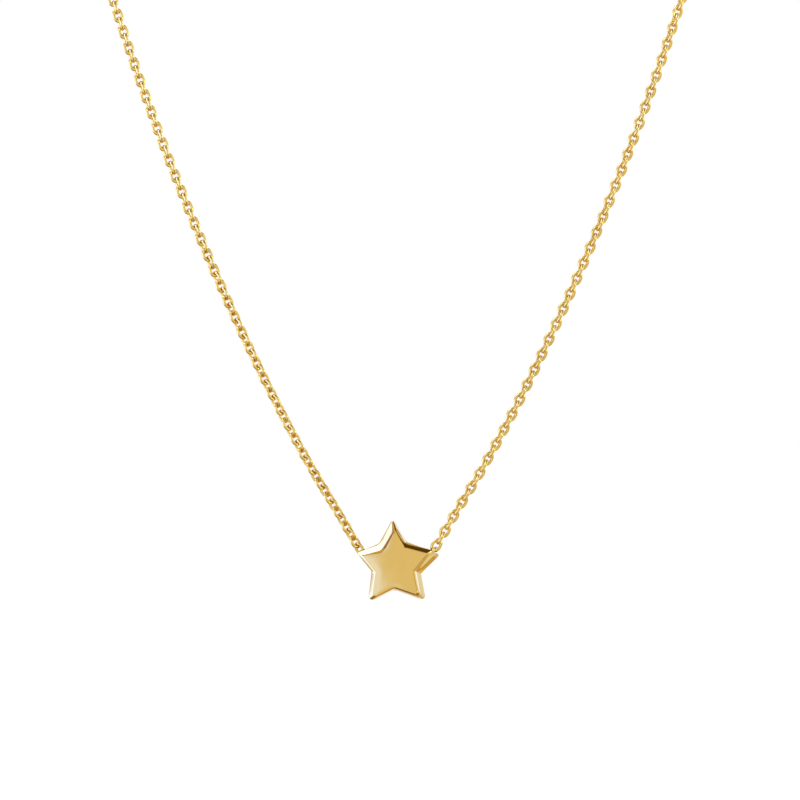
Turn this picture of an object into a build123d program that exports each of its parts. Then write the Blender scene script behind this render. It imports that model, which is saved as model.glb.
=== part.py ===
import os
from collections import namedtuple
from math import cos, pi, radians, sin, tan

from build123d import *

# A fine chain necklace with a threaded star bead, seen from the front along +Y.
# The origin is where the clasp lies on the nape of the neck. +Z is up, lengths are in millimetres.

# Star bead
star_reach = 5.2          # centre to a theoretical arm tip, at the rims
star_thickness = 3.5      # front face to back face
bevel_depth = 0.45        # how far the flat faces stand proud of the rims
back_inset = 0.38         # the back half is this much smaller all round than the front half
middle_swell = 0.09       # how far the sides swell past their row in the table, half-way back
sharpest_round = 0.08     # least rounding of a corner after an inset

# How the star hangs, degrees
star_turn = 11.0          # its front faces this far to the viewer's left
star_lean = 5.5           # and this far upwards
star_roll = 1.5           # its right arm stands this much higher than its left
star_swing = 15.0         # it swings this far each way about the chain

# Channel for the chain
chain_width = 1.2         # outer width of the links
channel_clearance = 0.1   # round the chain, inside the star
channel_height = 1.1      # above the star's centre
channel_forward = 0.215   # in front of the star's mid-plane, which makes the star lean
channel_middle = 0.26     # right of the star's centre
channel_half = 4.05       # middle of the channel to where the chain turns up
mouth_out = 1.1028        # the chain's first run from there, sideways
mouth_rise = 1.90456      # and upwards
slot_start = 0.04         # the channel is this much wider than high
bend_steps = 3            # sections in each of its bends

# Neck and clasp
neck_depth = 90.0         # front plane of the chain to the nape
neck_drop = 125.3         # nape to the channel in the star
loop_width = 100.0        # widest, between the middles of the chain's sides
clasp_ring_d = 5.6        # outer diameter of the ring
clasp_wire_d = 1.1
clasp_eye_d = 2.2         # outer diameter of the eye at each side
clasp_eye_wire_d = 0.6
clasp_eye_sink = 0.35     # how far an eye's outline runs into the ring's
clasp_gap = 0.1           # eye to the end of the chain's outline

# The star's tips and notches in turn, anticlockwise as seen from the front. The bead is uneven, as it
# was ground by hand: its flat face lies towards the lower right, and it swells towards its mid-plane,
# most at the two right-hand arms. Angles are in degrees, reaches and roundings shares of star_reach.
Corner = namedtuple("Corner", "name face_angle face rim_angle rim middle_angle middle rounding")
OUTLINE = [
    Corner("top_tip", 86, 0.77, 91, 1.02, 93, 1.02, 0.035),
    Corner("upper_left_notch", 124, 0.37, 128, 0.565, 127, 0.605, 0.20),
    Corner("left_tip", 164, 0.75, 162, 0.915, 162, 0.915, 0.03),
    Corner("lower_left_notch", 206, 0.455, 199, 0.53, 194, 0.562, 0.06),
    Corner("lower_left_tip", 238, 0.945, 235, 1.06, 233, 1.035, 0.08),
    Corner("bottom_notch", 272, 0.55, 271, 0.575, 269, 0.567, 0.16),
    Corner("lower_right_tip", 308, 0.93, 309, 1.02, 310, 1.085, 0.06),
    Corner("lower_right_notch", 337, 0.51, 342, 0.555, 340, 0.63, 0.03),
    Corner("right_tip", 14.5, 0.845, 18, 0.97, 11, 1.055, 0.03),
    Corner("upper_right_notch", 53.5, 0.45, 58, 0.555, 62, 0.575, 0.08),
]

# The star's depth, back to front. Place says where a section lies, and back how much of the back
# inset it takes.
Section = namedtuple("Section", "name side place back")
SECTIONS = [
    Section("back_face", 1, "face", 1.0),
    Section("back_rim", 1, "rim", 1.0),
    Section("middle", 0, "middle", 0.0),
    Section("front_rim", -1, "rim", 0.0),
    Section("front_face", -1, "face", 0.0),
]

# The chain's route on the right side, after its first run from the star's mouth, up to the clasp, in
# shares. Out runs from the mouth to the loop's widest place, back from the front plane to the nape, and
# up from the channel to the nape. Tilt is how much of the mouth's own offset from the star's turn is
# left there.
Point = namedtuple("Point", "out back up tilt")
first_tilt = 0.88
ROUTE = [
    Point(0.063, 0.0, 0.0399, 0.74),
    Point(0.135, 0.0, 0.0838, 0.50),
    Point(0.243, 0.0, 0.158, 0.25),
    Point(0.389, 0.0, 0.273, 0.0),
    Point(0.530, 0.001, 0.4015, 0.0),
    Point(0.661, 0.004, 0.541, 0.0),
    Point(0.769, 0.044, 0.6665, 0.0),
    Point(0.895, 0.156, 0.785, 0.0),
    Point(0.996, 0.339, 0.873, 0.0),
    Point(1.0, 0.556, 0.932, 0.0),
    Point(0.856, 0.758, 0.969, 0.0),
    Point(0.578, 0.907, 0.99, 0.0),
    Point(0.247, 0.98, 1.0, 0.0),
]

channel_d = chain_width + 2 * channel_clearance
chain_end = clasp_ring_d / 2 + clasp_eye_d - clasp_eye_sink + clasp_gap
channel_z = -neck_drop
front_y = -neck_depth
STAR_TURNED = Rot(Z=-star_turn) * Rot(X=-star_lean) * Rot(Y=-star_roll)


def inset_corners(corners, inset):
    """Moves each side of a closed outline inwards by the inset and returns its new corners."""
    moved = []
    for before, corner, after in zip(corners[-1:] + corners[:-1], corners, corners[1:] + corners[:1]):
        first = (corner - before).normalized()
        second = (after - corner).normalized()
        half_turn = radians(first.get_signed_angle(second, Vector(0, 0, 1))) / 2
        inward = Vector(-first.Y, first.X)
        moved.append(corner + (inward - first * tan(half_turn)) * inset)
    return moved


def rounded_outline(corners, rounds):
    """A closed wire of lines, with an arc at each corner."""
    starts, middles, ends = [], [], []
    count = len(corners)
    for i, (corner, rounding) in enumerate(zip(corners, rounds)):
        to_before = (corners[i - 1] - corner).normalized()
        to_after = (corners[(i + 1) % count] - corner).normalized()
        half_angle = radians(to_before.get_angle(to_after)) / 2
        tangent = rounding / tan(half_angle)
        bisector = (to_before + to_after).normalized()
        starts.append(corner + to_before * tangent)
        middles.append(corner + bisector * (rounding / sin(half_angle) - rounding))
        ends.append(corner + to_after * tangent)
    edges = []
    for i in range(count):
        edges.append(ThreePointArc(starts[i], middles[i], ends[i]))
        edges.append(Line(ends[i], starts[(i + 1) % count]))
    return Wire(edges)


def star_section(section):
    """One outline of the star as a face in its own plane."""
    depth = star_thickness / 2 - (bevel_depth if section.place == "rim" else 0)
    inset = section.back * back_inset - (middle_swell if section.place == "middle" else 0)
    corners, rounds = [], []
    for row in OUTLINE:
        angle, reach = {
            "face": (row.face_angle, row.face),
            "rim": (row.rim_angle, row.rim),
            "middle": (row.middle_angle, row.middle),
        }[section.place]
        x = star_reach * reach * cos(radians(angle))
        z = star_reach * reach * sin(radians(angle))
        corners.append(Vector(x, z))
        sign = 1 if "notch" in row.name else -1
        rounds.append(max(row.rounding * star_reach + sign * inset, sharpest_round))
    wire = rounded_outline(inset_corners(corners, inset), rounds)
    return Pos(0, section.side * depth, 0) * Rot(X=90) * Face(wire)


def arc_radius(before, corner, after):
    """The largest arc that the two runs beside a corner allow."""
    shorter = min((corner - before).length, (after - corner).length)
    return 0.45 * shorter / tan(radians((corner - before).get_angle(after - corner)) / 2)


def channel_slots(side):
    """The channel's sections at one side, from the start of its bend to outside the star."""
    middle = Vector(channel_middle, -channel_forward, channel_height)
    turn_at = middle + Vector(side * channel_half, 0, 0)
    leg = route_start(side) - mouth(side)
    leg = (STAR_TURNED.inverse() * Pos(*leg)).position
    across = Vector(1, 0, 0).cross(leg)
    outside = turn_at + leg.normalized() * star_reach
    line = FilletPolyline(middle, turn_at, outside, radius=arc_radius(middle, turn_at, turn_at + leg))
    bend, beyond = line.edges()[1:]
    stops = [(bend, step / bend_steps) for step in range(bend_steps + 1)] + [(beyond, 1)]
    slots = []
    for edge, part in stops:
        point = edge @ part
        raised = Vector(0, point.Y - middle.Y, point.Z - middle.Z).length
        spread = slot_start + 2 * raised * tan(radians(star_swing))
        plane = Plane(origin=point, x_dir=across, z_dir=(edge % part) * side)
        slots.append(plane * SlotCenterToCenter(spread, channel_d))
    return slots


def star_bead():
    """The bevelled star with its channel, whose mouths widen for the chain as the star swings."""
    channel = loft(channel_slots(-1)[::-1] + channel_slots(1), ruled=True)
    return loft([star_section(section) for section in SECTIONS], ruled=True) - channel


def star_centre():
    """Where the star's centre lies, so that the middle of its channel is in the chain's middle."""
    offset = (STAR_TURNED * Pos(channel_middle, -channel_forward, channel_height)).position
    return Vector(0, front_y, channel_z) - offset


def mouth(side):
    """Where the chain turns up at one end of the channel."""
    offset = (STAR_TURNED * Pos(side * channel_half, 0, 0)).position
    return Vector(0, front_y, channel_z) + offset


def route_place(side, out, back, up, tilt):
    """A place beside the channel, on the left with side -1 and on the right with side 1."""
    offset = mouth(side) - Vector(0, front_y, channel_z)
    return Vector(side * (channel_half + out), front_y + back + tilt * offset.Y, channel_z + up + tilt * offset.Z)


def route_start(side):
    """Where the chain's first run from the mouth ends."""
    return route_place(side, mouth_out, 0, mouth_rise, first_tilt)


def route_point(side, point):
    """One later point of the chain's route."""
    out = point.out * (loop_width / 2 - channel_half)
    return route_place(side, out, point.back * neck_depth, point.up * neck_drop, point.tilt)


def chain_tube():
    """The outline of the chain: a round tube along its route, with arcs as large as the runs allow."""
    left = [route_point(-1, point) for point in reversed(ROUTE)] + [route_start(-1)]
    right = [route_start(1)] + [route_point(1, point) for point in ROUTE]
    ends = [Vector(-chain_end, 0, 0), Vector(chain_end, 0, 0)]
    points = [ends[0]] + left + [mouth(-1), mouth(1)] + right + [ends[1]]
    runs = [(b - a).length for a, b in zip(points, points[1:])]
    radii = [arc_radius(*points[i - 1:i + 2]) for i in range(1, len(points) - 1)]
    print("runs", [round(run, 1) for run in runs])
    print("radii", [round(radius, 1) for radius in radii])
    path = FilletPolyline(*points, radius=radii)
    tube = sweep(path=path, sections=Plane(origin=path @ 0, z_dir=path % 0) * Circle(chain_width / 2))
    section_times_length = pi * chain_width**2 / 4 * path.length
    print("chain length", round(path.length, 1), "volume", round(tube.volume, 2), round(section_times_length, 2))
    return tube


def ring(outer_d, wire_d):
    """A round wire ring in the frontal plane."""
    return Torus((outer_d - wire_d) / 2, wire_d / 2, rotation=(90, 0, 0))


def clasp():
    """A plain ring with an eye at each side, lying on the nape."""
    body = ring(clasp_ring_d, clasp_wire_d)
    eye_x = clasp_ring_d / 2 + clasp_eye_d / 2 - clasp_eye_sink
    for side in (-1, 1):
        body += Pos(side * eye_x, 0, 0) * ring(clasp_eye_d, clasp_eye_wire_d)
    return body


parts = {
    "star": Pos(*star_centre()) * STAR_TURNED * star_bead(),
    "chain": chain_tube(),
    "clasp": clasp(),
}
os.makedirs("parts", exist_ok=True)
for name, shape in parts.items():
    solids = shape.solids()
    export_step(solids[0] if len(solids) == 1 else shape, f"parts/{name}.step")
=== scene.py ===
import random
from math import atan2, cos, hypot, pi, radians, sin, tan

import bmesh
import bpy
from mathutils import Matrix, Quaternion, Vector


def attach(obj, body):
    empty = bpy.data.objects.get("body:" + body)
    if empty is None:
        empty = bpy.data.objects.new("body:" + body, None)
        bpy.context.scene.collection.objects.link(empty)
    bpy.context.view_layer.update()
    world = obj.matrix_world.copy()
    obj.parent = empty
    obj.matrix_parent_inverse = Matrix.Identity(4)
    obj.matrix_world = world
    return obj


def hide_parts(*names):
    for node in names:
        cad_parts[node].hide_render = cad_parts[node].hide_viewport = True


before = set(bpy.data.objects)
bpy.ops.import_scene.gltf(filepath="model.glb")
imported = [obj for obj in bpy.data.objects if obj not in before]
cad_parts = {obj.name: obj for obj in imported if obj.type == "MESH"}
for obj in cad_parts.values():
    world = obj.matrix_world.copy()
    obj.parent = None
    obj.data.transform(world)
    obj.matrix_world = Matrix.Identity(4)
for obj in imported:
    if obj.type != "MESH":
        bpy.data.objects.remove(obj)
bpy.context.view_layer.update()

# Lengths are worked out in millimetres, in the same frame as the CAD, and turned into metres as
# meshes are made.
MM = 0.001

# Star, as in the part's source
star_reach = 5.2
star_thickness = 3.5
bevel_depth = 0.45
back_inset = 0.38
middle_swell = 0.09
sharpest_round = 0.08
star_turn = 11.0
star_lean = 5.5
star_roll = 1.5
star_swing = 15.0
chain_width = 1.2
channel_clearance = 0.1
channel_height = 1.1
channel_forward = 0.215
channel_middle = 0.26
channel_half = 4.05
slot_start = 0.04
neck_depth = 90.0
neck_drop = 125.3
loop_width = 100.0

# A row for each corner: face angle and reach, rim angle and reach, middle angle and reach, rounding
OUTLINE = [
    ("top_tip", 86, 0.77, 91, 1.02, 93, 1.02, 0.035),
    ("upper_left_notch", 124, 0.37, 128, 0.565, 127, 0.605, 0.20),
    ("left_tip", 164, 0.75, 162, 0.915, 162, 0.915, 0.03),
    ("lower_left_notch", 206, 0.455, 199, 0.53, 194, 0.562, 0.06),
    ("lower_left_tip", 238, 0.945, 235, 1.06, 233, 1.035, 0.08),
    ("bottom_notch", 272, 0.55, 271, 0.575, 269, 0.567, 0.16),
    ("lower_right_tip", 308, 0.93, 309, 1.02, 310, 1.085, 0.06),
    ("lower_right_notch", 337, 0.51, 342, 0.555, 340, 0.63, 0.03),
    ("right_tip", 14.5, 0.845, 18, 0.97, 11, 1.055, 0.03),
    ("upper_right_notch", 53.5, 0.45, 58, 0.555, 62, 0.575, 0.08),
]

# The chain's route on each side, from the star's mouth up to the clasp: its share of the way out,
# back and up, and the share of the turned mouth's own offset that is left there
ROUTE = [
    (0.024, 0.0, 0.0152, 0.88),
    (0.063, 0.0, 0.0399, 0.74),
    (0.135, 0.0, 0.0838, 0.50),
    (0.243, 0.0, 0.158, 0.25),
    (0.389, 0.0, 0.273, 0.0),
    (0.530, 0.001, 0.4015, 0.0),
    (0.661, 0.004, 0.541, 0.0),
    (0.769, 0.044, 0.6665, 0.0),
    (0.895, 0.156, 0.785, 0.0),
    (0.996, 0.339, 0.873, 0.0),
    (1.0, 0.556, 0.932, 0.0),
    (0.856, 0.758, 0.969, 0.0),
    (0.578, 0.907, 0.99, 0.0),
    (0.247, 0.98, 1.0, 0.0),
]
BEND_SHARE = 0.45         # of the first run, that the bend at a mouth takes up

# Links
link_wire = 0.395
link_half_width = 0.47    # middle of the wire
link_half_length = 0.708  # middle of the wire at an end
link_fullness = 2.2       # 2 is an ellipse, and more is squarer
left_pitch = 1.013
right_pitch = 0.998
jump_wire = 0.42
jump_radius = 0.74        # middle of the wire
jump_middle = 4.58        # from the middle of the clasp
LINK_POINTS = 24          # round a link
JUMP_POINTS = 28          # round a jump ring
WIRE_SIDES = 8

STAR_TURNED = (
    Matrix.Rotation(radians(-star_turn), 4, "Z")
    @ Matrix.Rotation(radians(-star_lean), 4, "X")
    @ Matrix.Rotation(radians(-star_roll), 4, "Y")
)
channel_at = Vector((0, -neck_depth, -neck_drop))
channel_in_star = Vector((channel_middle, -channel_forward, channel_height))
star_at = channel_at - STAR_TURNED @ channel_in_star


def mesh_object(name, verts, faces):
    """A smooth object in the scene, from vertices in millimetres."""
    mesh = bpy.data.meshes.new(name)
    mesh.from_pydata([v * MM for v in verts], [], faces)
    mesh.validate()
    obj = bpy.data.objects.new(name, mesh)
    bpy.context.scene.collection.objects.link(obj)
    for poly in mesh.polygons:
        poly.use_smooth = True
    return obj


def node_material(name):
    mat = bpy.data.materials.new(name)
    mat.use_nodes = True
    return mat, mat.node_tree.nodes, mat.node_tree.links


def new_node(nodes, kind, **values):
    """A new node, with the values given for its inputs or for its own settings."""
    node = nodes.new(kind)
    for key, value in values.items():
        if key in node.inputs.keys():
            node.inputs[key].default_value = value
        else:
            setattr(node, key, value)
    return node


# The camera is level and looks straight at the loop's front. The middle of the channel's line is at
# this place in the picture.
PICTURE_PX = 800
PX_PER_MM = 8.4
CHANNEL_PX = (397.2, 555.2)
CAMERA_AWAY = 600.0
SENSOR = 36.0

camera_data = bpy.data.cameras.new("camera")
camera_data.type = "PERSP"
camera_data.sensor_width = SENSOR
camera_data.lens = SENSOR * CAMERA_AWAY / (PICTURE_PX / PX_PER_MM)
camera_data.clip_start = 0.01
camera_data.clip_end = 100.0
camera = bpy.data.objects.new("camera", camera_data)
bpy.context.scene.collection.objects.link(camera)
camera.location = Vector((
    (PICTURE_PX / 2 - CHANNEL_PX[0]) / PX_PER_MM,
    -neck_depth - CAMERA_AWAY,
    -neck_drop + (CHANNEL_PX[1] - PICTURE_PX / 2) / PX_PER_MM,
)) * MM
camera.rotation_euler = (radians(90), 0, 0)
bpy.context.scene.camera = camera


def mouth(side):
    """The corner where the channel's straight line ends, on the left (-1) or on the right (1)."""
    return channel_at + STAR_TURNED @ Vector((side * channel_half, 0, 0))


def route_points(side):
    offset = mouth(side) - channel_at
    points = []
    for out, back, up, tilt in ROUTE:
        points.append(Vector((
            side * (channel_half + out * (loop_width / 2 - channel_half)),
            -neck_depth + back * neck_depth + tilt * offset.y,
            -neck_drop + up * neck_drop + tilt * offset.z,
        )))
    return points


def through(points, steps=24):
    """A smooth line through the points, straight at its two ends."""
    padded = [2 * points[0] - points[1]] + points + [2 * points[-1] - points[-2]]
    curve = []
    for a, b, c, d in zip(padded, padded[1:], padded[2:], padded[3:]):
        ab, bc, cd = ((q - p).length ** 0.5 for p, q in ((a, b), (b, c), (c, d)))
        m1 = (c - b) + bc * ((b - a) / ab - (c - a) / (ab + bc))
        m2 = (c - b) + bc * ((d - c) / cd - (d - b) / (bc + cd))
        for k in range(steps):
            t = k / steps
            curve.append(
                b * (2 * t**3 - 3 * t**2 + 1) + c * (3 * t**2 - 2 * t**3)
                + m1 * (t**3 - 2 * t**2 + t) + m2 * (t**3 - t**2)
            )
    curve.append(points[-1])
    return curve


def bend(before, corner, after, reach, steps=12):
    """The line from before to after with its corner rounded off."""
    a = corner + (before - corner).normalized() * reach
    b = corner + (after - corner).normalized() * reach
    return [
        a * (1 - t) ** 2 + corner * 2 * t * (1 - t) + b * t**2
        for t in (k / steps for k in range(steps + 1))
    ]


def chain_line():
    """The chain's middle, dense, from the left end of the clasp to the right one."""
    sides = {}
    for side in (-1, 1):
        points = route_points(side)
        outer = through(points + [Vector((side * jump_middle, 0, 0))])
        turn = mouth(side)
        reach = BEND_SHARE * (points[0] - turn).length
        sides[side] = bend(mouth(-side), turn, points[0], reach) + outer
    return list(reversed(sides[-1])) + sides[1]


SMALLEST_STEP = 1e-5      # points of the line that are nearer than this are one, mm


class Line:
    """A dense line with its length from the start and a frame that doesn't twist."""

    def __init__(self, points):
        self.points = [points[0]]
        for p in points[1:]:
            if (p - self.points[-1]).length > SMALLEST_STEP:
                self.points.append(p)
        self.at = [0.0]
        for a, b in zip(self.points, self.points[1:]):
            self.at.append(self.at[-1] + (b - a).length)
        self.length = self.at[-1]
        count = len(self.points)
        self.tangents = [
            (self.points[min(i + 1, count - 1)] - self.points[max(i - 1, 0)]).normalized()
            for i in range(count)
        ]
        front = Vector((0, -1, 0))
        u = (front - self.tangents[0] * front.dot(self.tangents[0])).normalized()
        self.fronts = [u]
        for t in self.tangents[1:]:
            u = (u - t * u.dot(t)).normalized()
            self.fronts.append(u)

    def sample(self, s):
        """The point, the tangent and the frame's first direction at this length from the start."""
        s = min(max(s, 0.0), self.length)
        low, high = 0, len(self.at) - 1
        while high - low > 1:
            mid = (low + high) // 2
            if self.at[mid] <= s:
                low = mid
            else:
                high = mid
        t = (s - self.at[low]) / (self.at[high] - self.at[low])
        point = self.points[low].lerp(self.points[high], t)
        tangent = self.tangents[low].lerp(self.tangents[high], t).normalized()
        u = self.fronts[low].lerp(self.fronts[high], t)
        u = (u - tangent * u.dot(tangent)).normalized()
        return point, tangent, u

    def nearest(self, target):
        index = min(range(len(self.points)), key=lambda i: (self.points[i] - target).length)
        return self.at[index]


line = Line(chain_line())


def front_angle(s):
    """How far the frame has to turn about the line there to face the front."""
    _, tangent, u = line.sample(s)
    front = Vector((0, -1, 0))
    front = (front - tangent * front.dot(tangent)).normalized()
    v = tangent.cross(u)
    return atan2(front.dot(v), front.dot(u))


s_left = line.nearest(mouth(-1))
s_right = line.nearest(mouth(1))

# How far outwards from each mouth's corner the first link's middle is
RIGHT_FIRST = 0.22
LEFT_FIRST = -0.13
SHOWN = 80                # links after it on each side at the even pitch


def link_places():
    """Where each link's middle is along the line, from left to right."""
    first_left, first_right = s_left - LEFT_FIRST, s_right + RIGHT_FIRST
    end = jump_radius - jump_wire / 2 - link_wire / 2 + link_half_length
    inner = first_right - first_left
    inner_count = round(2 * inner / (left_pitch + right_pitch))
    places = [first_left + inner * k / inner_count for k in range(inner_count + 1)]
    for side, pitch in ((-1, left_pitch), (1, right_pitch)):
        start = places[0] if side < 0 else places[-1]
        shown = [start + side * pitch * k for k in range(1, SHOWN + 1)]
        stop = end if side < 0 else line.length - end
        rest = abs(stop - shown[-1])
        count = round(rest / pitch)
        shown += [shown[-1] + side * rest * k / count for k in range(1, count + 1)]
        places = (list(reversed(shown)) + places) if side < 0 else (places + shown)
    return places


# How far the links are turned from facing the front, in degrees, at places along the line, measured
# from each mouth in millimetres: every other link, then those between
RIGHT_TURN = [(0, 14, 101), (75, 14, 101)]
LEFT_TURN = [(0, -37, 38), (26, -37, 38), (38, -14, 59), (52, -8, 71), (75, -8, 75)]
FRONT_AWAY = 6            # millimetres from a mouth to where the front's angle is taken for its side
EVEN_AWAY = 80            # from here, in millimetres, a link's turn goes over to that at the clasp
WOBBLE = 8.0              # most that a run of links strays from these turns, degrees
WOBBLE_STEP = 4           # links from one stray to the next
LINK_STRAY = 2.5          # most that a single link strays besides, degrees
CHAIN_SEED = 7
SLACK = 1e-6              # for comparing places along the line, mm


def link_turn(rows, away, odd):
    """A link's turn, between the rows on both sides of it."""
    column = 2 if odd else 1
    for before, after in zip(rows, rows[1:]):
        if away <= after[0]:
            share = (away - before[0]) / (after[0] - before[0])
            return radians(before[column] + (after[column] - before[column]) * share)
    return radians(rows[-1][column])


def outer_turn(start_angle, rows, away, odd, whole, goal):
    """A link's turn outside the star: the rows', and then gradually the goal at the clasp."""
    turn = start_angle + link_turn(rows, away, odd)
    if away > EVEN_AWAY:
        turn += (goal - turn) * ((away - EVEN_AWAY) / (whole - EVEN_AWAY))
    return turn


def link_turns(places):
    """How far each link's face is turned about the line from the line's own frame, in radians."""
    rng = random.Random(CHAIN_SEED)
    total = len(places)
    left_angle = front_angle(s_left - FRONT_AWAY)
    right_angle = front_angle(s_right + FRONT_AWAY)
    end_left, end_right = front_angle(places[0]), front_angle(places[-1])
    strays = [rng.uniform(-WOBBLE, WOBBLE) for _ in range(total // WOBBLE_STEP + 3)]
    first_left = sum(1 for s in places if s < s_left - LEFT_FIRST - SLACK)
    first_right = sum(1 for s in places if s < s_right + RIGHT_FIRST - SLACK)
    turns = []
    for i, s in enumerate(places):
        if i <= first_left:
            odd = (first_left - i) % 2
            goal = end_left + pi / 2 * (first_left % 2 + odd)
            turn = outer_turn(left_angle, LEFT_TURN, s_left - s, odd, s_left - places[0], goal)
        elif i >= first_right:
            odd = (i - first_right + 1) % 2
            goal = end_right + pi / 2 * ((total - first_right) % 2 + odd)
            turn = outer_turn(right_angle, RIGHT_TURN, s - s_right, odd, places[-1] - s_right, goal)
        else:
            share = (i - first_left) / (first_right - first_left)
            odd = (i - first_left) % 2
            even_count = (first_right - first_left) % 2 == 0
            a = left_angle + link_turn(LEFT_TURN, 0, odd)
            b = right_angle + link_turn(RIGHT_TURN, 0, odd != even_count)
            b += pi if odd and even_count else 0
            turn = a + (b - a) * share
        step, part = divmod(i / WOBBLE_STEP, 1)
        part = part * part * (3 - 2 * part)
        stray = strays[int(step)] * (1 - part) + strays[int(step) + 1] * part
        turns.append(turn + radians(stray + rng.uniform(-LINK_STRAY, LINK_STRAY)))
    return turns


def swept_ring(middle, wire):
    """A closed wire along the middle points, which go round the z axis."""
    verts, faces = [], []
    count = len(middle)
    for k, p in enumerate(middle):
        t = (middle[(k + 1) % count] - middle[k - 1]).normalized()
        outwards = Vector((t.y, -t.x, 0))
        for j in range(WIRE_SIDES):
            a = 2 * pi * (j + 0.5) / WIRE_SIDES
            verts.append(p + outwards * (wire / 2 * cos(a)) + Vector((0, 0, wire / 2 * sin(a))))
    for k in range(count):
        for j in range(WIRE_SIDES):
            a, b = k * WIRE_SIDES, ((k + 1) % count) * WIRE_SIDES
            n = (j + 1) % WIRE_SIDES
            faces.append((a + j, b + j, b + n, a + n))
    return verts, faces


def oval(half_length, half_width, fullness, around):
    """The middle of a link's wire, long along x and flat in z."""
    points = []
    for k in range(around):
        turn = 2 * pi * (k + 0.5) / around
        c, s = cos(turn), sin(turn)
        points.append(Vector((
            half_length * abs(c) ** (2 / fullness) * (1 if c > 0 else -1),
            half_width * abs(s) ** (2 / fullness) * (1 if s > 0 else -1),
            0,
        )))
    return points


def placed(verts, point, along, across):
    """The vertices with their x along the line, and their y across it."""
    up = along.cross(across)
    return [point + along * v.x + across * v.y + up * v.z for v in verts]


def make_chain():
    """The links, and the two jump rings that join them to the clasp's eyes."""
    verts, faces = [], []

    def add(shape, point, along, across):
        base = len(verts)
        verts.extend(placed(shape[0], point, along, across))
        faces.extend(tuple(base + i for i in face) for face in shape[1])

    link = swept_ring(oval(link_half_length, link_half_width, link_fullness, LINK_POINTS), link_wire)
    places = link_places()
    for s, turn in zip(places, link_turns(places)):
        point, along, u = line.sample(s)
        v = along.cross(u)
        facing = u * cos(turn) + v * sin(turn)
        add(link, point, along, facing.cross(along))

    jump = swept_ring(oval(jump_radius, jump_radius, 2.0, JUMP_POINTS), jump_wire)
    for side in (-1, 1):
        add(jump, Vector((side * jump_middle, 0, 0)), Vector((1, 0, 0)), Vector((0, 1, 0)))
    return mesh_object("chain_links", verts, faces)


def inset_corners(corners, inset):
    """The corners of an outline whose sides are moved inwards."""
    moved = []
    befores, afters = corners[-1:] + corners[:-1], corners[1:] + corners[:1]
    for before, corner, after in zip(befores, corners, afters):
        first = (corner - before).normalized()
        second = (after - corner).normalized()
        half_turn = atan2(first.x * second.y - first.y * second.x, first.dot(second)) / 2
        inward = Vector((-first.y, first.x))
        moved.append(corner + (inward - first * tan(half_turn)) * inset)
    return moved


ARC_STEPS = 6             # along the arc at each corner of an outline
SIDE_STEPS = 6            # along each side of it


def outline_points(corners, rounds):
    """The points of a rounded outline, the same number for every section."""
    count = len(corners)
    arcs = []
    for i, (corner, rounding) in enumerate(zip(corners, rounds)):
        to_before = (corners[i - 1] - corner).normalized()
        to_after = (corners[(i + 1) % count] - corner).normalized()
        half = to_before.angle(to_after) / 2
        bisector = (to_before + to_after).normalized()
        centre = corner + bisector * (rounding / sin(half))
        start = corner + to_before * (rounding / tan(half)) - centre
        end = corner + to_after * (rounding / tan(half)) - centre
        turn = atan2(start.x * end.y - start.y * end.x, start.dot(end))
        arc = []
        for k in range(ARC_STEPS + 1):
            c, s = cos(turn * k / ARC_STEPS), sin(turn * k / ARC_STEPS)
            arc.append(centre + Vector((start.x * c - start.y * s, start.x * s + start.y * c)))
        arcs.append(arc)
    points = []
    for i in range(count):
        points += arcs[i]
        a, b = arcs[i][-1], arcs[(i + 1) % count][0]
        points += [a.lerp(b, k / SIDE_STEPS) for k in range(1, SIDE_STEPS)]
    return points


def section_points(place, inset):
    """The star's outline at its face, its rim or its middle, moved inwards by the inset."""
    corners, rounds = [], []
    for name, face_angle, face, rim_angle, rim, middle_angle, middle, rounding in OUTLINE:
        angle, reach = {
            "face": (face_angle, face),
            "rim": (rim_angle, rim),
            "middle": (middle_angle, middle),
        }[place]
        far = star_reach * reach
        corners.append(Vector((far * cos(radians(angle)), far * sin(radians(angle)))))
        sign = 1 if "notch" in name else -1
        rounds.append(max(rounding * star_reach + sign * inset, sharpest_round))
    return outline_points(inset_corners(corners, inset), rounds)


# How softly each edge is rounded over. The front face's edge is worn softer along some sides, by these
# amounts at the start and at the end of the side after a corner.
EDGE_SOFTNESS = {"face": 0.22, "rim": 0.15, "ridge": 0.20, "middle": 0.30}
FACE_WEAR = {
    "top_tip": (0.03, 0.07),
    "upper_left_notch": (0.07, 0.05),
    "lower_right_notch": (0.16, 0.26),
    "right_tip": (0.20, 0.16),
    "upper_right_notch": (0.16, 0.14),
}
EDGE_MOST = 0.42          # share of the way to the next section that a soft edge takes at most
EDGE_STEPS = 5            # across each soft edge

# Both faces fall off a little from their middles, and their points lie in rings.
CROWN = 0.10              # fall at this distance from the middle
CROWN_REACH = 4.0
CROWN_MOST = 1.3          # times that fall, further out
FACE_BORDER = 0.90        # width of a face's outermost ring
FACE_RINGS = (0.25, 0.5, 0.78)

# A soft ridge along the front of the sides, that shows as bands under the right arm. It lies at this
# share of the way from the front rim to the middle, and stands out by a share at the start and at the
# end of the side after these corners.
RIDGE_AT = 0.30
RIDGE = {"lower_right_notch": (0.20, 0.24)}


def along_outline(values):
    """A value for each point of an outline, from those given for the ends of some sides."""
    ends = [values.get(row[0], (0.0, 0.0)) for row in OUTLINE]
    spread = []
    for before, (start, end) in zip(ends[-1:] + ends[:-1], ends):
        spread += [before[1] + (start - before[1]) * k / ARC_STEPS for k in range(ARC_STEPS + 1)]
        spread += [start + (end - start) * k / SIDE_STEPS for k in range(1, SIDE_STEPS)]
    return spread


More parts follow.
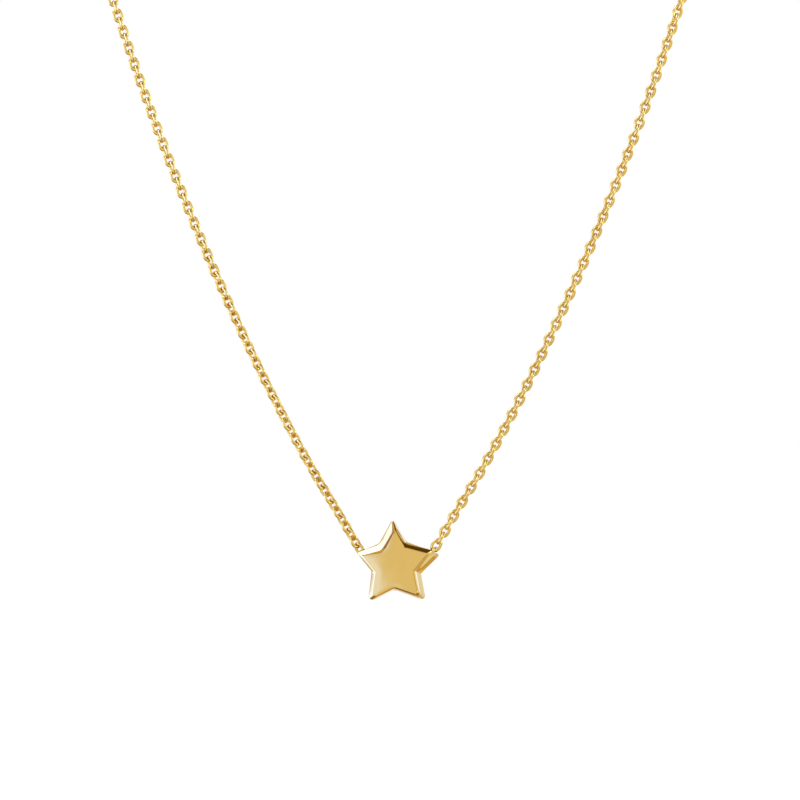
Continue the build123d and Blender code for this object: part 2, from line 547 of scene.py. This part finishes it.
def ridge_points():
    """The outline at the ridge, between the front rim's and the middle's."""
    rim, middle = section_points("rim", 0.0), section_points("middle", -middle_swell)
    return [a.lerp(b, RIDGE_AT + share) for a, b, share in zip(rim, middle, along_outline(RIDGE))]


def star_rings():
    """The star's outline rings from the middle of its back face to the middle of its front face."""
    half = star_thickness / 2
    rim_depth = half - bevel_depth
    rows = [
        (section_points("face", back_inset + FACE_BORDER), half, None),
        (section_points("face", back_inset), half, "face"),
        (section_points("rim", back_inset), rim_depth, "rim"),
        (section_points("middle", -middle_swell), 0.0, "middle"),
        (ridge_points(), -rim_depth * (1 - RIDGE_AT), "ridge"),
        (section_points("rim", 0.0), -rim_depth, "rim"),
        (section_points("face", 0.0), -half, "face"),
        (section_points("face", FACE_BORDER), -half, None),
    ]
    sections = [([Vector((p.x, depth, p.y)) for p in flat], edge) for flat, depth, edge in rows]
    rings = [sections[0][0]]
    for j in range(1, len(sections) - 1):
        before, (here, edge), after = sections[j - 1][0], sections[j], sections[j + 1][0]
        softness = [EDGE_SOFTNESS[edge]] * len(here)
        if edge == "face" and here[0].y < 0:
            softness = [soft + wear for soft, wear in zip(softness, along_outline(FACE_WEAR))]
        for k in range(EDGE_STEPS + 1):
            t = k / EDGE_STEPS
            ring = []
            for a, b, c, soft in zip(before, here, after, softness):
                p = b + (a - b).normalized() * min(soft, EDGE_MOST * (a - b).length)
                q = b + (c - b).normalized() * min(soft, EDGE_MOST * (c - b).length)
                ring.append(p * (1 - t) ** 2 + b * 2 * t * (1 - t) + q * t**2)
            rings.append(ring)
    rings.append(sections[-1][0])
    return rings


def crowned(p):
    """The point moved down by the crown's fall there, in full at the faces."""
    share = min(abs(p.y) / (star_thickness / 2), 1.0)
    drop = CROWN * min((p.x**2 + p.z**2) / CROWN_REACH**2, CROWN_MOST) * share**2
    return Vector((p.x, p.y - drop * (1 if p.y > 0 else -1), p.z))


def ring_faces(ring_count, around):
    """The faces between each ring and the next, whose points follow each other."""
    faces = []
    for j in range(ring_count - 1):
        for i in range(around):
            n = (i + 1) % around
            a, b = j * around, (j + 1) * around
            faces.append((a + i, a + n, b + n, b + i))
    return faces


def star_body():
    """The bevelled star without its channel."""
    rings = star_rings()
    back_middle = Vector((0, star_thickness / 2, 0))
    front_middle = Vector((0, -star_thickness / 2, 0))
    back = [[back_middle.lerp(p, share) for p in rings[0]] for share in FACE_RINGS]
    front = [[front_middle.lerp(p, share) for p in rings[-1]] for share in reversed(FACE_RINGS)]
    rings = back + rings + front
    around = len(rings[0])
    verts = [crowned(p) for ring in rings for p in ring]
    verts += [crowned(back_middle), crowned(front_middle)]
    faces = ring_faces(len(rings), around)
    back_at, front_at = len(verts) - 2, len(verts) - 1
    last = (len(rings) - 1) * around
    for i in range(around):
        n = (i + 1) % around
        faces.append((back_at, n, i))
        faces.append((front_at, last + i, last + n))
    return verts, faces


CHANNEL_SIDES = 20
CHANNEL_STEPS = 8         # along the bend at each mouth


def channel_mesh():
    """The channel as a closed tube along the chain's line, wider towards its mouths."""
    into_star = STAR_TURNED.inverted()
    rings = []
    half_depth = chain_width / 2 + channel_clearance
    for side in (-1, 1):
        turn_at = channel_in_star + Vector((side * channel_half, 0, 0))
        leg = into_star @ (route_points(side)[0] - mouth(side))
        across = Vector((1, 0, 0)).cross(leg).normalized()
        reach = BEND_SHARE * leg.length
        curve = bend(channel_in_star, turn_at, turn_at + leg, reach, CHANNEL_STEPS)
        curve.append(turn_at + leg.normalized() * star_reach)
        here = []
        for k, point in enumerate(curve):
            before, after = curve[max(k - 1, 0)], curve[min(k + 1, len(curve) - 1)]
            if k == 0:
                tangent = Vector((side, 0, 0))
            else:
                tangent = (after - before).normalized()
            offset = point - channel_in_star
            raised = hypot(offset.y, offset.z)
            spread = slot_start / 2 + raised * tan(radians(star_swing))
            third = tangent.cross(across).normalized() * side
            ring = []
            for j in range(CHANNEL_SIDES):
                a = 2 * pi * (j + 0.5) / CHANNEL_SIDES
                wide = half_depth * cos(a) + (spread if cos(a) > 0 else -spread)
                ring.append(point + across * wide + third * (half_depth * sin(a)))
            here.append(ring)
        rings = list(reversed(here)) + rings if side < 0 else rings + here
    verts = [p for ring in rings for p in ring]
    faces = ring_faces(len(rings), CHANNEL_SIDES)
    faces.append(tuple(reversed(range(CHANNEL_SIDES))))
    faces.append(tuple((len(rings) - 1) * CHANNEL_SIDES + i for i in range(CHANNEL_SIDES)))
    return verts, faces


# Points this near to each other become one, in metres: as the solids are made, and after the cut
MERGED = 1e-7
MERGED_CUT = 2e-6
SHARP_ANGLE = 38          # an edge that turns more than this stays sharp, degrees


def make_star():
    """The star with its channel cut, turned and in its place on the chain."""
    star = mesh_object("star_body", *star_body())
    cutter = mesh_object("channel_cutter", *channel_mesh())
    for obj in (star, cutter):
        bm = bmesh.new()
        bm.from_mesh(obj.data)
        bmesh.ops.remove_doubles(bm, verts=bm.verts, dist=MERGED)
        bmesh.ops.recalc_face_normals(bm, faces=bm.faces)
        bm.to_mesh(obj.data)
        bm.free()
    cut = star.modifiers.new("channel", "BOOLEAN")
    cut.operation = "DIFFERENCE"
    cut.solver = "EXACT"
    cut.object = cutter
    bpy.context.view_layer.update()
    graph = bpy.context.evaluated_depsgraph_get()
    mesh = bpy.data.meshes.new_from_object(star.evaluated_get(graph))
    star.modifiers.clear()
    star.data = mesh
    bpy.data.objects.remove(cutter)
    mesh.transform(Matrix.Translation(star_at * MM) @ STAR_TURNED)
    bm = bmesh.new()
    bm.from_mesh(mesh)
    bmesh.ops.remove_doubles(bm, verts=bm.verts, dist=MERGED_CUT)
    bmesh.ops.dissolve_degenerate(bm, edges=bm.edges, dist=MERGED_CUT)
    for face in bm.faces:
        face.smooth = True
    for edge in bm.edges:
        flat = edge.calc_face_angle(0) < radians(SHARP_ANGLE)
        edge.smooth = len(edge.link_faces) == 2 and flat
    bm.to_mesh(mesh)
    bm.free()
    weighted = star.modifiers.new("weighted", "WEIGHTED_NORMAL")
    weighted.keep_sharp = True
    weighted.weight = 80
    return star


def gold(name, base, deep, rough_low, rough_high):
    """Polished gold: slow changes of tone, faint waviness and fine polishing marks."""
    mat, nodes, links = node_material(name)
    shader = nodes["Principled BSDF"]
    shader.inputs["Metallic"].default_value = 1.0
    shader.inputs["Coat Weight"].default_value = 0.3
    shader.inputs["Coat Roughness"].default_value = 0.06
    shader.inputs["Coat IOR"].default_value = 1.5
    coords = new_node(nodes, "ShaderNodeTexCoord")

    # Slow changes between the deep tone and the base tone
    tone = new_node(nodes, "ShaderNodeTexNoise", Scale=260.0, Detail=2.0, Roughness=0.5)
    ramp = new_node(nodes, "ShaderNodeValToRGB")
    ramp.color_ramp.elements[0].position = 0.30
    ramp.color_ramp.elements[0].color = (*deep, 1)
    ramp.color_ramp.elements[1].position = 0.62
    ramp.color_ramp.elements[1].color = (*base, 1)
    links.new(coords.outputs["Object"], tone.inputs["Vector"])
    links.new(tone.outputs["Fac"], ramp.inputs["Fac"])
    links.new(ramp.outputs["Color"], shader.inputs["Base Color"])

    # Roughness
    haze = new_node(nodes, "ShaderNodeTexNoise", Scale=900.0, Detail=3.0, Roughness=0.6)
    spread = new_node(nodes, "ShaderNodeMapRange")
    spread.inputs["From Min"].default_value = 0.3
    spread.inputs["From Max"].default_value = 0.7
    spread.inputs["To Min"].default_value = rough_low
    spread.inputs["To Max"].default_value = rough_high
    links.new(coords.outputs["Object"], haze.inputs["Vector"])
    links.new(haze.outputs["Fac"], spread.inputs["Value"])
    links.new(spread.outputs["Result"], shader.inputs["Roughness"])

    # Faint waves, and fine marks that run slantwise
    swell = new_node(nodes, "ShaderNodeTexNoise", Scale=420.0, Detail=1.0, Roughness=0.4)
    stretch = new_node(nodes, "ShaderNodeMapping")
    stretch.inputs["Scale"].default_value = (6000.0, 900.0, 900.0)
    stretch.inputs["Rotation"].default_value = (0.3, 0.5, 0.7)
    marks = new_node(nodes, "ShaderNodeTexNoise", Scale=1.0, Detail=2.0, Roughness=0.6)
    low = new_node(nodes, "ShaderNodeBump", Strength=0.10, Distance=0.0001)
    fine = new_node(nodes, "ShaderNodeBump", Strength=0.10, Distance=0.00001)
    links.new(coords.outputs["Object"], swell.inputs["Vector"])
    links.new(coords.outputs["Object"], stretch.inputs["Vector"])
    links.new(stretch.outputs["Vector"], marks.inputs["Vector"])
    links.new(swell.outputs["Fac"], low.inputs["Height"])
    links.new(marks.outputs["Fac"], fine.inputs["Height"])
    links.new(low.outputs["Normal"], fine.inputs["Normal"])
    links.new(fine.outputs["Normal"], shader.inputs["Normal"])
    return mat


# The links are lighter and smoother than the star, and the clasp is rougher. The last two numbers are
# each gold's least and most roughness.
BASE = (0.74, 0.47, 0.125)
DEEP = (0.71, 0.44, 0.110)
LINK_BASE = (0.86, 0.585, 0.15)
LINK_DEEP = (0.80, 0.53, 0.125)
star_gold = gold("star_gold", BASE, DEEP, 0.07, 0.11)
link_gold = gold("link_gold", LINK_BASE, LINK_DEEP, 0.02, 0.04)
clasp_gold = gold("clasp_gold", BASE, DEEP, 0.14, 0.20)

star = make_star()
star.data.materials.clear()
star.data.materials.append(star_gold)
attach(star, "star")
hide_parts("star")

chain = make_chain()
chain.data.materials.append(link_gold)
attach(chain, "necklace")
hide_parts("chain")

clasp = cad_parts["clasp"]
clasp.data.materials.clear()
clasp.data.materials.append(clasp_gold)
for poly in clasp.data.polygons:
    poly.use_smooth = True

# Floor
floor_below = 75.0        # from the chain's lowest place
floor_half = 8000.0
floor_z = -neck_drop - floor_below
floor = mesh_object("floor", [
    Vector((-floor_half, -floor_half, floor_z)),
    Vector((floor_half, -floor_half, floor_z)),
    Vector((floor_half, floor_half, floor_z)),
    Vector((-floor_half, floor_half, floor_z)),
], [(0, 1, 2, 3)])
floor_mat, floor_nodes, _ = node_material("floor_paint")
paint = floor_nodes["Principled BSDF"]
paint.inputs["Base Color"].default_value = (0.86, 0.86, 0.86, 1)
paint.inputs["Roughness"].default_value = 0.9
floor.data.materials.append(floor_mat)
floor.visible_glossy = False

# A large soft light from above
sun_data = bpy.data.lights.new("sun", "SUN")
sun_data.energy = 0.65
sun_data.angle = radians(60)
sun = bpy.data.objects.new("sun", sun_data)
bpy.context.scene.collection.objects.link(sun)
sun.visible_glossy = False

# The metal mirrors a room of soft panels and flags. Their lights are cool and their shades warm.
REST = (0.78, 0.60, 0.28)

# Azimuth, elevation, half width, half height and roll in degrees, softness of the edge, and colour.
# Each lies over those before it.
ROOM = [
    ("backdrop", 146, -11, 67.5, 45.5, 1, 0.04, (1.04, 1.22, 1.57)),
    ("left_back", -149, 23, 43.5, 31.5, 20, 0.04, (0.78, 0.60, 0.28)),
    ("low_left", -86, -52, 47.5, 22.5, -4, 0.04, (0.35, 0.26, 0.13)),
    ("front_panel", -29, 12, 49.5, 37, -13, 0.04, (0.97, 1.02, 1.03)),
    ("top_flag", 47, 62, 29, 20.5, -25, 0.04, (0.10, 0.07, 0.04)),
    ("right_flag", 39, 17, 8, 33, 24, 0.04, (0.90, 0.84, 0.40)),
    ("right_box", 100, 32, 6.5, 17.5, -19, 0.36, (1.30, 1.96, 7.16)),
    ("low_right", 126, -52, 28.5, 16.5, 14, 0.04, (0.75, 0.60, 0.27)),
    ("low_line", 34, -41, 8, 25, -27, 0.04, (0.03, 0.02, 0.01)),
    ("left_upper_flag", -45, 28, 20, 10.5, -11, 0.04, (0.42, 0.30, 0.13)),
    ("upper_flag", -34, 34, 13.5, 9, 45, 0.04, (0.79, 0.65, 0.28)),
    ("left_spill", -67, -4, 43.5, 11, 21, 0.04, (1.11, 1.44, 3.08)),
    ("low_left_box", -90, -9, 32, 22.5, 27, 0.31, (1.38, 2.17, 6.34)),
    ("left_box", -97, 57, 31.5, 19, -16, 0.04, (1.74, 2.85, 7.50)),
    ("left_rim", -130, 7, 14.5, 52, -9, 0.04, (0.88, 0.80, 0.37)),
    ("side_flag", 152, -34, 11.5, 31.5, -15, 0.04, (0.90, 0.80, 0.33)),
    ("right_low_line", 45, -31, 5, 18.5, -13, 0.04, (0.28, 0.22, 0.10)),
    ("right_low_box", 98, 13, 9, 9, 0, 0.1, (1.40, 2.10, 6.50)),
    ("right_tip_box", 52, 4, 5, 8, 42, 0.12, (5.28, 7.50, 7.50)),
    ("right_dark_flag", 108, -19, 7.5, 14, 21, 0.04, (0.46, 0.34, 0.17)),
]


def aim(azimuth, elevation):
    """A direction: 0 is towards the camera, and positive is to its right."""
    a, e = radians(azimuth), radians(elevation)
    return Vector((sin(a) * cos(e), -cos(a) * cos(e), sin(e)))


world = bpy.data.worlds.new("studio")
bpy.context.scene.world = world
world.use_nodes = True
w_nodes, w_links = world.node_tree.nodes, world.node_tree.links
background = w_nodes["Background"]
coords = new_node(w_nodes, "ShaderNodeTexCoord")
room = new_node(w_nodes, "ShaderNodeRGB").outputs["Color"]
room.default_value = (*REST, 1)
for _, azimuth, elevation, half_width, half_height, roll, softness, colour in ROOM:
    # The panel's own directions, in which its edges are 1 from its middle
    turned = new_node(w_nodes, "ShaderNodeMapping", vector_type="TEXTURE")
    facing = aim(azimuth, elevation).to_track_quat("Z", "Y") @ Quaternion((0, 0, 1), radians(roll))
    turned.inputs["Rotation"].default_value = facing.to_euler()
    turned.inputs["Scale"].default_value = (sin(radians(half_width)), sin(radians(half_height)), 1)
    w_links.new(coords.outputs["Generated"], turned.inputs["Vector"])
    parts = new_node(w_nodes, "ShaderNodeSeparateXYZ")
    w_links.new(turned.outputs["Vector"], parts.inputs["Vector"])
    sides = []
    for axis in ("X", "Y"):
        size = new_node(w_nodes, "ShaderNodeMath", operation="ABSOLUTE")
        w_links.new(parts.outputs[axis], size.inputs[0])
        sides.append(size.outputs["Value"])
    reach = new_node(w_nodes, "ShaderNodeMath", operation="MAXIMUM")
    w_links.new(sides[0], reach.inputs[0])
    w_links.new(sides[1], reach.inputs[1])
    share = new_node(w_nodes, "ShaderNodeMapRange", interpolation_type="SMOOTHSTEP")
    share.inputs["From Min"].default_value = 1 + softness
    share.inputs["From Max"].default_value = 1 - softness
    w_links.new(reach.outputs["Value"], share.inputs["Value"])
    # Only ahead, and not on the opposite side as well
    ahead = new_node(w_nodes, "ShaderNodeMath", operation="GREATER_THAN")
    ahead.inputs[1].default_value = 0.0
    w_links.new(parts.outputs["Z"], ahead.inputs[0])
    both = new_node(w_nodes, "ShaderNodeMath", operation="MULTIPLY")
    w_links.new(share.outputs["Result"], both.inputs[0])
    w_links.new(ahead.outputs["Value"], both.inputs[1])
    mix = new_node(w_nodes, "ShaderNodeMix", data_type="RGBA")
    w_links.new(both.outputs["Value"], mix.inputs["Factor"])
    w_links.new(room, mix.inputs[6])
    mix.inputs[7].default_value = (*colour, 1)
    room = mix.outputs[2]

# Everything but the mirroring metal sees plain white
path = new_node(w_nodes, "ShaderNodeLightPath")
seen = new_node(w_nodes, "ShaderNodeMix", data_type="RGBA")
w_links.new(path.outputs["Is Glossy Ray"], seen.inputs["Factor"])
seen.inputs[6].default_value = (1, 1, 1, 1)
w_links.new(room, seen.inputs[7])
w_links.new(seen.outputs[2], background.inputs["Color"])

bpy.context.scene.view_settings.view_transform = "Standard"
bpy.context.scene.view_settings.look = "None"
